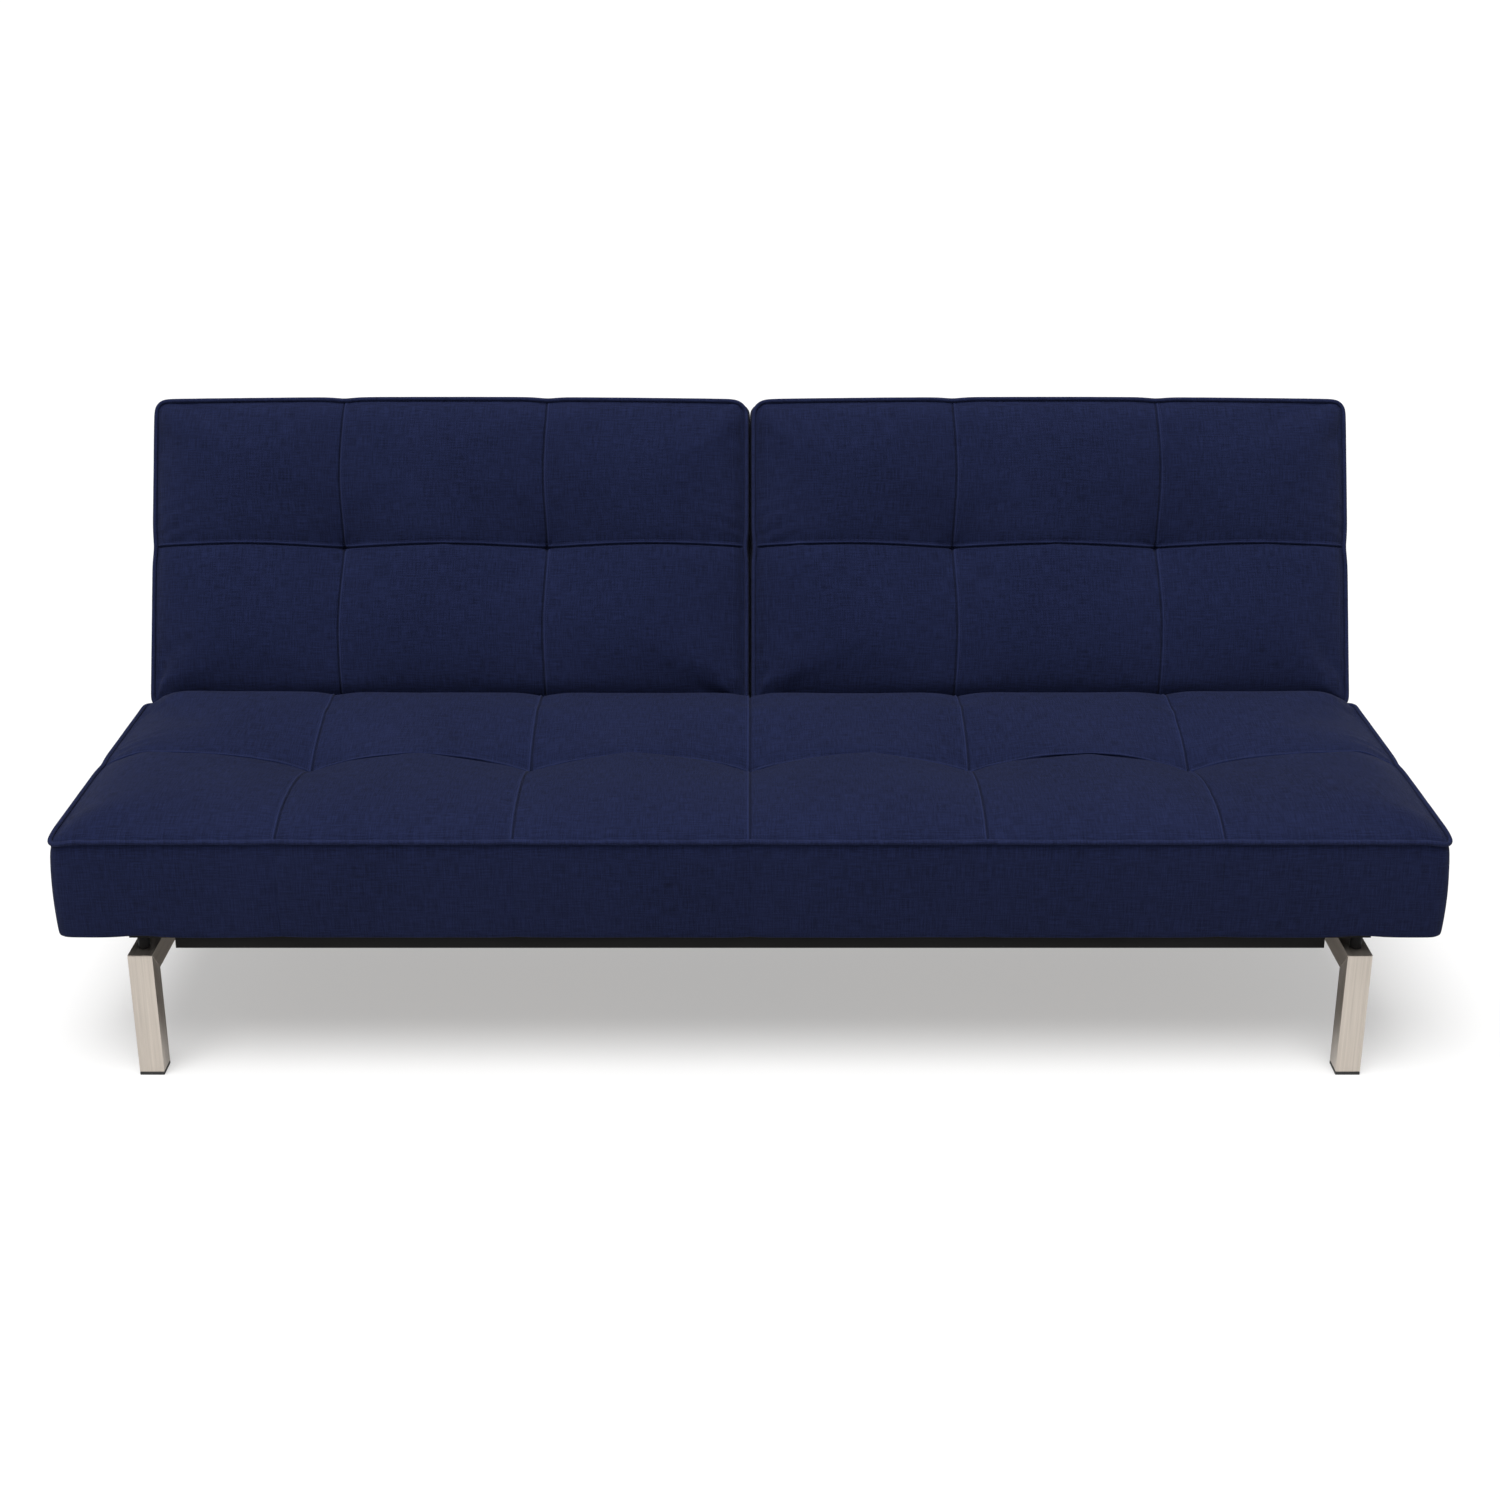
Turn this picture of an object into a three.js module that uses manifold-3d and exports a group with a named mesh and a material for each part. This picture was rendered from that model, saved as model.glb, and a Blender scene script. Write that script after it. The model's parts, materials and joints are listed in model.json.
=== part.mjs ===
// A sofa bed: a padded bench seat on two welded leg frames, and two backs that recline
// independently on click hinges until they lie level with the seat and make a bed.
// Millimetres, +Z up, front towards -Y. The origin is on the floor, under the middle of the sofa.
import * as THREE from "three";
import { mergeVertices } from "three/addons/utils/BufferGeometryUtils.js";
import Module from "manifold-3d";

// Driving dimensions. Depths (y) count from the seat's front face until the last line,
// where the whole sofa is centred on its origin.
const WIDTH = 2096;
const SEAT_DEPTH = 618;
const SEAT_BOTTOM = 236;
const SEAT_TOP = 396;
const BACK_LENGTH = 538;
const BACK_THICKNESS = 120;
const BACK_GAP = 8;
const RECLINE_UPRIGHT = 23.7; // degrees from vertical
const GAP = 0.3; // between pieces that touch

// The hinge line that both backs turn about.
const PIVOT = { y: 627, z: 366 };
const BACK_START = 8; // from the hinge line to the lower edge of a back
const BACK_FRONT = SEAT_TOP - PIVOT.z; // level with the seat when flat
const BACK_REAR = BACK_FRONT - BACK_THICKNESS;

// Leg frames: one mitred square tube loop under each end of the seat.
const LEG = { size: 38, wall: 2, outerX: 947, frontY: -14, rearY: 800, top: 206 };
const FOOT_HEIGHT = 5;
const FOOT_PLUG = { size: 33, height: 20 };
const RAIL_BOTTOM = LEG.top - LEG.size;

// Seat frame: flat box tubes under the slats.
const RAIL = { depth: 30, height: 20, wall: 2, halfLength: 879, frontY: 12, rearY: 600 };
const FRAME_TOP = LEG.top + RAIL.height;
const SEAT_SLATS = { count: 7, pitch: 260, width: 70, thickness: 9.2 };
const CORNER_PLATE = { inner: 839, depth: 40, thickness: 5, frontY: 26, rearY: 580 };
const MOUNT_X = 928;
const SPACER = { radius: 9, bore: 4.5 };
const MOUNT_BOLT = { radius: 4, end: 198, headRadius: 7, headHeight: 4 };
const MOUNT_YS = { front: 16, rear: 580 };

// Click hinges: a fixed plate, an arm with a notched disc beside it, and a shouldered bolt.
const HINGE = { sheet: 5, disc: 18, neck: 28, bore: 5.4, slip: 0.5 };
const HINGE_XS = { inner: 20, outer: 873.7 }; // inner face of each fixed plate
const PIVOT_BOLT = { radius: 5, headRadius: 8, headLength: 5 };
const NOTCH = { radius: 4.8, centre: 19.6 };
const DETENT = { nose: 4, centre: 19.4, sheet: 4.4 };
const CLICK_ANGLES = [0, 30, 90 - RECLINE_UPRIGHT]; // reclined from upright, in degrees
const RELEASE_ANGLE = -8; // the upright notch runs on to here, so a back can be pulled forwards
const ARM = { end: 200, flange: 40, flangeSheet: 4 };

// Inside a back: a wooden ladder frame, two slats and a rear panel in a pocket in the pad.
const BACK_FRAME = { innerX: 31, outerX: 1015, start: 27, end: 523, rear: -86, front: -56, rail: 40 };
const BACK_STILES = [[75, 440], [484, 876], [924, 975]]; // the windows between the stiles
const BACK_SLATS = { starts: [250, 390], width: 60, thickness: 6 };
const POCKET = { innerX: 28, outerX: 1018, start: 24, end: 526, front: -48 };
const REAR_PANEL = 3.6;

const CORNERS = { hinge: 30, seatFront: 16, bottom: 22, back: 20 };
const CIRCLE_STEPS = 24;
const degrees = THREE.MathUtils.degToRad;

const wasm = await Module();
wasm.setup();

const finishes = {
  fabric: { color: 0x1f2540, roughness: 0.95, metalness: 0 },
  brushedSteel: { color: 0xc1b7ad, roughness: 0.32, metalness: 1 },
  blackSteel: { color: 0x231f1c, roughness: 0.5, metalness: 0.4 },
  zincSteel: { color: 0x9a9ca0, roughness: 0.4, metalness: 1 },
  wood: { color: 0xc9a678, roughness: 0.7, metalness: 0 },
  plastic: { color: 0x111111, roughness: 0.6, metalness: 0 },
};
const materials = Object.fromEntries(
  Object.entries(finishes).map(([name, finish]) => [name, new THREE.MeshStandardMaterial(finish)]),
);

// A geometry as a manifold-3d solid.
function solidOf(geometry) {
  const bare = geometry.clone();
  bare.deleteAttribute("normal");
  bare.deleteAttribute("uv");
  const merged = mergeVertices(bare, 1e-4);
  const vertProperties = merged.attributes.position.array;
  const triVerts = new Uint32Array(merged.index.array);
  return new wasm.Manifold(new wasm.Mesh({ numProp: 3, vertProperties, triVerts }));
}

function geometryOf(solid) {
  const mesh = solid.getMesh();
  const geometry = new THREE.BufferGeometry();
  geometry.setAttribute("position", new THREE.BufferAttribute(mesh.vertProperties, mesh.numProp));
  geometry.setIndex(new THREE.BufferAttribute(mesh.triVerts, 1));
  geometry.computeVertexNormals();
  return geometry;
}

const cut = (geometry, ...tools) =>
  geometryOf(tools.reduce((solid, tool) => solid.subtract(solidOf(tool)), solidOf(geometry)));

const join = (geometry, ...others) =>
  geometryOf(others.reduce((solid, other) => solid.add(solidOf(other)), solidOf(geometry)));

function box([x0, x1], [y0, y1], [z0, z1]) {
  const geometry = new THREE.BoxGeometry(x1 - x0, y1 - y0, z1 - z0);
  return geometry.translate((x0 + x1) / 2, (y0 + y1) / 2, (z0 + z1) / 2);
}

// An outline in (y, z), extruded along X.
function alongX(outline, [x0, x1]) {
  const geometry = new THREE.ExtrudeGeometry(outline, {
    depth: x1 - x0,
    bevelEnabled: false,
    curveSegments: CIRCLE_STEPS / 4,
  });
  const toYZ = new THREE.Matrix4().makeBasis(
    new THREE.Vector3(0, 1, 0),
    new THREE.Vector3(0, 0, 1),
    new THREE.Vector3(1, 0, 0),
  );
  return geometry.applyMatrix4(toYZ).translate(x0, 0, 0);
}

function cylinderAlongX(radius, [x0, x1], y, z) {
  const geometry = new THREE.CylinderGeometry(radius, radius, x1 - x0, CIRCLE_STEPS);
  return geometry.rotateZ(Math.PI / 2).translate((x0 + x1) / 2, y, z);
}

function polygon(points) {
  return new THREE.Shape(points.map(([y, z]) => new THREE.Vector2(y, z)));
}

// A rectangle in (y, z) whose corner radii run from the low corner, anticlockwise.
function roundedRectangle([y0, y1], [z0, z1], [lowFront, lowRear, highRear, highFront]) {
  const shape = new THREE.Shape();
  shape.absarc(y0 + lowFront, z0 + lowFront, lowFront, Math.PI, 1.5 * Math.PI, false);
  shape.absarc(y1 - lowRear, z0 + lowRear, lowRear, -0.5 * Math.PI, 0, false);
  shape.absarc(y1 - highRear, z1 - highRear, highRear, 0, 0.5 * Math.PI, false);
  shape.absarc(y0 + highFront, z1 - highFront, highFront, 0.5 * Math.PI, Math.PI, false);
  return shape;
}

// A span of X on the left (side -1) or right (side 1) of the sofa.
const spanOf = (side, x0, x1) => (side > 0 ? [x0, x1] : [-x1, -x0]);

function addMesh(group, name, geometry, material) {
  const mesh = new THREE.Mesh(geometry, materials[material]);
  mesh.name = name;
  group.add(mesh);
  return mesh;
}

// --- Leg frames ---------------------------------------------------------------------------

// A square tube whose side outline is in (y, z), hollow along the given core outline.
function mitredTube(side, outline, core) {
  const { size, wall, outerX } = LEG;
  const outer = alongX(polygon(outline), spanOf(side, outerX - size, outerX));
  const inner = alongX(polygon(core), spanOf(side, outerX - size + wall, outerX - wall));
  return cut(outer, inner);
}

function legTube(side, isFront) {
  const { size, wall, frontY, rearY, top } = LEG;
  const toFrame = isFront ? 1 : -1;
  const outerY = isFront ? frontY : rearY;
  const innerY = outerY + toFrame * size;
  const low = FOOT_HEIGHT + GAP;
  const outline = [[outerY, low], [innerY, low], [innerY, RAIL_BOTTOM - GAP], [outerY, top - GAP]];
  const [nearY, farY] = [outerY + toFrame * wall, innerY - toFrame * wall];
  const core = [[nearY, 0], [farY, 0], [farY, top + size], [nearY, top + size]];
  if (!isFront) {
    outline.reverse();
    core.reverse();
  }
  return mitredTube(side, outline, core);
}

function legRail(side) {
  const { size, wall, frontY, rearY, top } = LEG;
  const outline = [
    [frontY + size + GAP, RAIL_BOTTOM],
    [rearY - size - GAP, RAIL_BOTTOM],
    [rearY - GAP, top],
    [frontY + GAP, top],
  ];
  const [low, high] = [RAIL_BOTTOM + wall, top - wall];
  const core = [[0, low], [rearY + size, low], [rearY + size, high], [0, high]];
  const drills = Object.values(MOUNT_YS).map((y) => {
    const drill = new THREE.CylinderGeometry(SPACER.bore, SPACER.bore, size, CIRCLE_STEPS);
    return drill.rotateX(Math.PI / 2).translate(side * MOUNT_X, y, top);
  });
  return cut(mitredTube(side, outline, core), ...drills);
}

function footCap() {
  const half = LEG.size / 2;
  const plugHalf = FOOT_PLUG.size / 2;
  const flange = box([-half, half], [-half, half], [0, FOOT_HEIGHT]);
  const plug = box([-plugHalf, plugHalf], [-plugHalf, plugHalf], [1, FOOT_HEIGHT + FOOT_PLUG.height]);
  return join(flange, plug);
}

// A ring or stud turned about Z: profile points are [radius, height].
function turned(profile) {
  const geometry = new THREE.LatheGeometry(
    profile.map(([radius, height]) => new THREE.Vector2(radius, height)),
    CIRCLE_STEPS,
  );
  return geometry.rotateX(Math.PI / 2);
}

function mountSpacer() {
  const { radius, bore } = SPACER;
  const height = RAIL.height - GAP;
  return turned([[bore, 0], [radius, 0], [radius, height], [bore, height], [bore, 0]]);
}

function mountBolt() {
  const { radius, end, headRadius, headHeight } = MOUNT_BOLT;
  const seat = FRAME_TOP + 2 * GAP + CORNER_PLATE.thickness;
  return turned([[0, end], [radius, end], [radius, seat], [headRadius, seat],
    [headRadius, seat + headHeight], [0, seat + headHeight]]);
}

function addLegFrame(group, side) {
  const hand = side > 0 ? "right" : "left";
  for (const end of ["front", "rear"]) {
    addMesh(group, `${end}_${hand}_leg`, legTube(side, end === "front"), "brushedSteel");
    const foot = addMesh(group, `${end}_${hand}_foot`, footCap(), "plastic");
    const middle = LEG.size / 2;
    foot.position.x = side * (LEG.outerX - middle);
    foot.position.y = end === "front" ? LEG.frontY + middle : LEG.rearY - middle;
    const spacer = addMesh(group, `${end}_${hand}_spacer`, mountSpacer(), "blackSteel");
    spacer.position.set(side * MOUNT_X, MOUNT_YS[end], LEG.top + GAP);
    const bolt = addMesh(group, `${end}_${hand}_mount_bolt`, mountBolt(), "zincSteel");
    bolt.position.set(side * MOUNT_X, MOUNT_YS[end], 0);
  }
  addMesh(group, `${hand}_leg_rail`, legRail(side), "brushedSteel");
}

// --- Seat frame ---------------------------------------------------------------------------

// A rectangular tube open at both ends, with its section centred on its axis.
function boxTube(length, width, height, wall) {
  const rectangle = (w, h) => polygon([[-w / 2, -h / 2], [w / 2, -h / 2], [w / 2, h / 2], [-w / 2, h / 2]]);
  const section = rectangle(width, height);
  section.holes.push(rectangle(width - 2 * wall, height - 2 * wall));
  return alongX(section, [-length / 2, length / 2]);
}

function cornerPlate(side, end) {
  const { inner, depth, thickness } = CORNER_PLATE;
  const y = CORNER_PLATE[`${end}Y`];
  const low = FRAME_TOP + GAP;
  const plate = box(spanOf(side, inner, LEG.outerX), [y - depth / 2, y + depth / 2], [low, low + thickness]);
  const drill = new THREE.CylinderGeometry(SPACER.bore, SPACER.bore, 4 * thickness, CIRCLE_STEPS);
  return cut(plate, drill.rotateX(Math.PI / 2).translate(side * MOUNT_X, MOUNT_YS[end], low));
}

function addSeatFrame(group) {
  const { depth, height, wall, halfLength, frontY, rearY } = RAIL;
  const middleZ = LEG.top + height / 2;
  const long = { seat_front_rail: frontY + depth / 2, seat_rear_rail: rearY - depth / 2 };
  for (const [name, y] of Object.entries(long)) {
    addMesh(group, name, boxTube(2 * halfLength, depth, height, wall), "blackSteel").position.set(0, y, middleZ);
  }
  const crossLength = rearY - frontY - 2 * depth - 2 * GAP;
  const crossX = halfLength - depth / 2;
  const cross = { seat_left_rail: -crossX, seat_centre_rail: 0, seat_right_rail: crossX };
  for (const [name, x] of Object.entries(cross)) {
    const rail = addMesh(group, name, boxTube(crossLength, depth, height, wall), "blackSteel");
    rail.position.set(x, (frontY + rearY) / 2, middleZ);
    rail.rotation.z = Math.PI / 2;
  }
  for (const end of ["front", "rear"]) {
    addMesh(group, `${end}_left_corner_plate`, cornerPlate(-1, end), "blackSteel");
    addMesh(group, `${end}_right_corner_plate`, cornerPlate(1, end), "blackSteel");
  }
  const { count, pitch, width, thickness } = SEAT_SLATS;
  for (let i = 0; i < count; i++) {
    const slat = new THREE.BoxGeometry(width, rearY - frontY - 4, thickness);
    const mesh = addMesh(group, `seat_slat_${i + 1}`, slat, "wood");
    mesh.position.set((i - (count - 1) / 2) * pitch, (frontY + rearY) / 2, FRAME_TOP + GAP + thickness / 2);
  }
}

// Both hinges of a back, as the X of each fixed plate's inner face.
const hingesOf = (side) => Object.entries(HINGE_XS).map(([end, x]) => ({ end, x, side }));

function seatPad() {
  const { hinge, seatFront, bottom } = CORNERS;
  const outline = roundedRectangle([0, SEAT_DEPTH], [SEAT_BOTTOM, SEAT_TOP], [bottom, bottom, hinge, seatFront]);
  const pad = alongX(outline, [-WIDTH / 2, WIDTH / 2]);
  const slots = [-1, 1].flatMap(hingesOf).map(({ x, side }) =>
    box(spanOf(side, x - 8, x + 18), [600, SEAT_DEPTH + 1], [SEAT_BOTTOM - 1, SEAT_TOP - 8]),
  );
  return cut(pad, ...slots);
}

// --- Hinges -------------------------------------------------------------------------------

function hingePlate(side, x) {
  const foot = RAIL.rearY + GAP;
  const shape = new THREE.Shape();
  shape.moveTo(foot, LEG.top + 1);
  shape.lineTo(foot + 22, LEG.top + 1);
  shape.lineTo(PIVOT.y + 1, PIVOT.z - HINGE.neck);
  shape.absarc(PIVOT.y, PIVOT.z, HINGE.disc, degrees(-65), Math.PI, false);
  shape.lineTo(foot + 3, SEAT_BOTTOM + 4);
  shape.lineTo(foot, SEAT_BOTTOM);
  const bore = cylinderAlongX(HINGE.bore, spanOf(side, x - 1, x + HINGE.sheet + 1), PIVOT.y, PIVOT.z);
  return cut(alongX(shape, spanOf(side, x, x + HINGE.sheet)), bore);
}

// The bolt's head is inside the plate, and its nut outside the arm.
function pivotBolt(side, x) {
  const { radius, headRadius, headLength } = PIVOT_BOLT;
  const grip = 2 * HINGE.sheet + HINGE.slip;
  const head = cylinderAlongX(headRadius, spanOf(side, x - GAP - headLength, x - GAP), PIVOT.y, PIVOT.z);
  const shank = cylinderAlongX(radius, spanOf(side, x - 1, x + grip + 2), PIVOT.y, PIVOT.z);
  const nut = cylinderAlongX(headRadius, spanOf(side, x + grip + GAP, x + grip + GAP + headLength), PIVOT.y, PIVOT.z);
  return join(head, shank, nut);
}

// A spring strip beside the outer plate. Its rounded nose drops into the disc's notches.
function detentSpring(side, x) {
  const { nose, centre, sheet } = DETENT;
  const noseZ = PIVOT.z - centre;
  const shape = new THREE.Shape();
  shape.moveTo(RAIL.rearY + 3, LEG.top + 4);
  shape.lineTo(RAIL.rearY + 6, LEG.top + 4);
  shape.lineTo(PIVOT.y - 0.5, noseZ - nose);
  shape.absarc(PIVOT.y, noseZ, nose, -0.5 * Math.PI, 0.85 * Math.PI, false);
  const inner = x + HINGE.sheet + (HINGE.slip + HINGE.sheet - sheet) / 2;
  return alongX(shape, spanOf(side, inner, inner + sheet));
}

// The moving arm, in the back's own frame: +Y up the back and +Z out of its front face.
function hingeArm(side, x) {
  const webX = x + HINGE.sheet + HINGE.slip;
  const flangeZ = BACK_FRAME.front + GAP;
  const discStart = degrees(45);
  const discEnd = degrees(290);
  const shape = new THREE.Shape();
  shape.moveTo(32, flangeZ);
  shape.lineTo(ARM.end, flangeZ);
  shape.lineTo(ARM.end, -40);
  shape.lineTo(HINGE.disc * Math.cos(discStart), HINGE.disc * Math.sin(discStart));
  shape.absarc(0, 0, HINGE.disc, discStart, discEnd, false);
  const web = alongX(shape, spanOf(side, webX, webX + HINGE.sheet));
  const flange = box(spanOf(side, webX, webX + ARM.flange), [32, ARM.end], [flangeZ, flangeZ + ARM.flangeSheet]);
  const reach = spanOf(side, webX - 1, webX + HINGE.sheet + 1);
  const notches = [RELEASE_ANGLE, RELEASE_ANGLE / 2, ...CLICK_ANGLES].map((angle) => {
    const towardsNose = degrees(180 + RECLINE_UPRIGHT + angle);
    const [y, z] = [Math.cos(towardsNose), Math.sin(towardsNose)].map((part) => part * NOTCH.centre);
    return cylinderAlongX(NOTCH.radius, reach, y, z);
  });
  return cut(join(web, flange), cylinderAlongX(HINGE.bore, reach, 0, 0), ...notches);
}

function addHinges(base, back, side) {
  const hand = side > 0 ? "right" : "left";
  for (const { end, x } of hingesOf(side)) {
    addMesh(base, `${hand}_${end}_hinge_plate`, hingePlate(side, x), "zincSteel");
    addMesh(base, `${hand}_${end}_pivot_bolt`, pivotBolt(side, x), "zincSteel");
    addMesh(back, `${hand}_${end}_hinge_arm`, hingeArm(side, x), "zincSteel");
  }
  addMesh(base, `${hand}_detent_spring`, detentSpring(side, HINGE_XS.outer), "zincSteel");
}

// --- Backs, each in its own frame on the hinge line ----------------------------------------

function backFrame(side) {
  const { innerX, outerX, start, end, rear, front, rail } = BACK_FRAME;
  const frame = box(spanOf(side, innerX, outerX), [start, end], [rear, front]);
  const windows = BACK_STILES.map(([x0, x1]) =>
    box(spanOf(side, x0, x1), [start + rail, end - rail], [rear - 1, front + 1]),
  );
  return cut(frame, ...windows);
}

function backPad(side) {
  const { hinge, back } = CORNERS;
  const outline = roundedRectangle(
    [BACK_START, BACK_START + BACK_LENGTH],
    [BACK_REAR, BACK_FRONT],
    [back, back, back, hinge],
  );
  const pad = alongX(outline, spanOf(side, BACK_GAP / 2, WIDTH / 2));
  const { innerX, outerX, start, end, front } = POCKET;
  const pocket = box(spanOf(side, innerX, outerX), [start, end], [BACK_REAR - 1, front]);
  const slots = hingesOf(side).flatMap(({ x }) => [
    box(spanOf(side, x - 8, x + 18), [BACK_START - 1, 62], [BACK_REAR - 1, BACK_FRONT - 8]),
    box(spanOf(side, x - 3, x + 50), [BACK_START - 1, ARM.end + 6], [front - 12, 2]),
  ]);
  return cut(pad, pocket, ...slots);
}

function addBack(base, root, side) {
  const hand = side > 0 ? "right" : "left";
  const back = new THREE.Group();
  back.position.set(0, PIVOT.y, PIVOT.z);
  back.rotation.x = degrees(90 - RECLINE_UPRIGHT);
  root.add(back);

  addHinges(base, back, side);
  addMesh(back, `${hand}_back_frame`, backFrame(side), "wood");
  const { innerX, outerX, front } = BACK_FRAME;
  BACK_SLATS.starts.forEach((start, i) => {
    const low = front + GAP;
    const slat = box(spanOf(side, innerX + 2, outerX - 2), [start, start + BACK_SLATS.width],
      [low, low + BACK_SLATS.thickness]);
    addMesh(back, `${hand}_back_slat_${i + 1}`, slat, "wood");
  });
  addMesh(back, `${hand}_back_pad`, backPad(side), "fabric");
  const panel = box(spanOf(side, POCKET.innerX + 1, POCKET.outerX - 1), [POCKET.start + 1, POCKET.end - 1],
    [BACK_REAR, BACK_REAR + REAR_PANEL]);
  addMesh(back, `${hand}_back_panel`, panel, "fabric");
}

// --- Assembly -----------------------------------------------------------------------------

const sofa = new THREE.Group();
const base = new THREE.Group();
sofa.add(base);
for (const side of [-1, 1]) {
  addLegFrame(base, side);
  addBack(base, sofa, side);
}
addSeatFrame(base);
addMesh(base, "seat_pad", seatPad(), "fabric");

const centre = new THREE.Box3().setFromObject(sofa, true).getCenter(new THREE.Vector3());
sofa.position.y = -centre.y;

export default sofa;
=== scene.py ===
"""The looks of a split-back sofa bed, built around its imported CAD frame.

Metres, +Z up, the sofa's front towards -Y. Each cushion is made in flat coordinates of its own:
a runs along the sofa, b away from the cushion's lower or front edge, and c out of its face.
"""

import json
import math
from dataclasses import dataclass

import bmesh
import bpy
import numpy as np
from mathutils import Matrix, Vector, noise


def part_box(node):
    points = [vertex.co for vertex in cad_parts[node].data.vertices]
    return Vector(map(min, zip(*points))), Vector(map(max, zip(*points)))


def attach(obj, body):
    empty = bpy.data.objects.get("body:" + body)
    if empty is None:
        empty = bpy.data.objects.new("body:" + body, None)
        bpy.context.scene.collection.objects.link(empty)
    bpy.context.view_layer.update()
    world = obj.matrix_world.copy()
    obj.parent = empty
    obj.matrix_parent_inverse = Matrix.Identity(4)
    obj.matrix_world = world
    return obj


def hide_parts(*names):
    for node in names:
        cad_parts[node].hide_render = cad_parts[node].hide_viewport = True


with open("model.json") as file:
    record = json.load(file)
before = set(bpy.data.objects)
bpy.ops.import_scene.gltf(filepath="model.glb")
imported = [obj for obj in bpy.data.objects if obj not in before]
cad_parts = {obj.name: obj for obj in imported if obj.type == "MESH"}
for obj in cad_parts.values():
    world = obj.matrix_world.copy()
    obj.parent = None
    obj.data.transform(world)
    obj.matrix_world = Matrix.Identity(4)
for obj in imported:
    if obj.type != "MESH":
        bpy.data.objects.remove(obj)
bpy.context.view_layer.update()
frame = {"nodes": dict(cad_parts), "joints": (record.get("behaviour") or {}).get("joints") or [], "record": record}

MM = 0.001
TINY = 1e-6  # two places closer than this are one
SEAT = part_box("seat_pad")
JOINT = frame["joints"][0]
PIVOT_Y, PIVOT_Z = JOINT["pos_m"][1], JOINT["pos_m"][2]
RECLINE = math.radians(90 - JOINT["range_deg"][1])  # a back lies flat at the joint's upper limit
BODY_OF = {node: body for body, nodes in frame["record"]["behaviour"]["bodies"].items() for node in nodes}

# Seams, as distances from the middle of the sofa. The seat's line up with the backs'.
SEAM_SPACING = 357 * MM
SEAT_HALF = 1054 * MM  # from the middle of the sofa to the piping
BACK_HALF = 1045 * MM
SPLIT = 6.5 * MM  # from the middle of the sofa to a back's inner piping

PIPING_RADIUS = 3.9 * MM
STITCH = {"pitch": 3.6 * MM, "length": 2.7 * MM, "radius": 0.42 * MM}
SEAM_TO_STITCHES = 6 * MM
SEAM_VALLEY = 5 * MM  # how deep the seams lie between the cells of a face
PIPING_GROOVE = 3.2 * MM  # how far the face dips beside the piping
HEM_LIFT = 0.35  # how much of the hem is drawn up over a spacer
DENT_EDGE = 4 * MM  # how far the border takes to bend in beside a hinge
MOST_MOVE = 26 * MM  # how far inflating may move a point of a cover

# A point of a cover has a depth: 0 on the face, up to 1 down the border, and 2 on the base.
ON_FACE, STRAIGHT_SHARE, BASE = 0.005, 0.8, 2.0  # the border is straight down to 0.8, then rounds in


# --- Small helpers ----------------------------------------------------------------------------

def smooth(x):
    """0 below 0, 1 above 1, and an S-curve between."""
    x = np.clip(x, 0.0, 1.0)
    return x * x * (3 - 2 * x)


def bell(distance, reach, power=2):
    """1 at distance 0, about a third at the reach, and 0 far away."""
    return np.exp(-(distance / reach) ** power)


def mound(distance, reach, power):
    """0 at distance 0, rising steeply at first and level at 1 from the reach on."""
    return 1 - (1 - np.clip(distance / reach, 0, 1)) ** power


def new_object(name, vertices, faces, material):
    """Makes a smooth-shaded mesh object with one material."""
    mesh = bpy.data.meshes.new(name)
    mesh.from_pydata([tuple(v) for v in vertices], [], [tuple(int(i) for i in f) for f in faces])
    mesh.materials.append(material)
    mesh.shade_smooth()
    obj = bpy.data.objects.new(name, mesh)
    bpy.context.collection.objects.link(obj)
    return obj


def coordinates(mesh):
    """A mesh's points, one to a row."""
    flat = np.empty(len(mesh.vertices) * 3)
    mesh.vertices.foreach_get("co", flat)
    return flat.reshape(-1, 3)


def set_coordinates(mesh, points):
    mesh.vertices.foreach_set("co", np.asarray(points, dtype=np.float32).ravel())
    mesh.update()


def normals(mesh):
    """The normals at a mesh's points, one to a row."""
    flat = np.empty(len(mesh.vertices) * 3)
    mesh.vertices.foreach_get("normal", flat)
    return flat.reshape(-1, 3)


def unit(vectors):
    return vectors / np.linalg.norm(vectors, axis=-1, keepdims=True)


def way_round(loop):
    """The distance round a closed path to each of its points, and back to the first."""
    step = np.linalg.norm(np.roll(loop, -1, axis=0) - loop, axis=1)
    return np.concatenate([[0], np.cumsum(step)])


def apply_modifiers(obj):
    """Bakes an object's modifiers into its mesh."""
    evaluated = obj.evaluated_get(bpy.context.evaluated_depsgraph_get())
    mesh = bpy.data.meshes.new_from_object(evaluated)
    old = obj.data
    obj.modifiers.clear()
    obj.data = mesh
    mesh.name = obj.name
    bpy.data.meshes.remove(old)


def subdivide(obj):
    """Subdivides an object once, smoothly."""
    subdivision = obj.modifiers.new("Subdivision", "SUBSURF")
    subdivision.levels = subdivision.render_levels = 1
    apply_modifiers(obj)


# --- Materials --------------------------------------------------------------------------------

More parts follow.
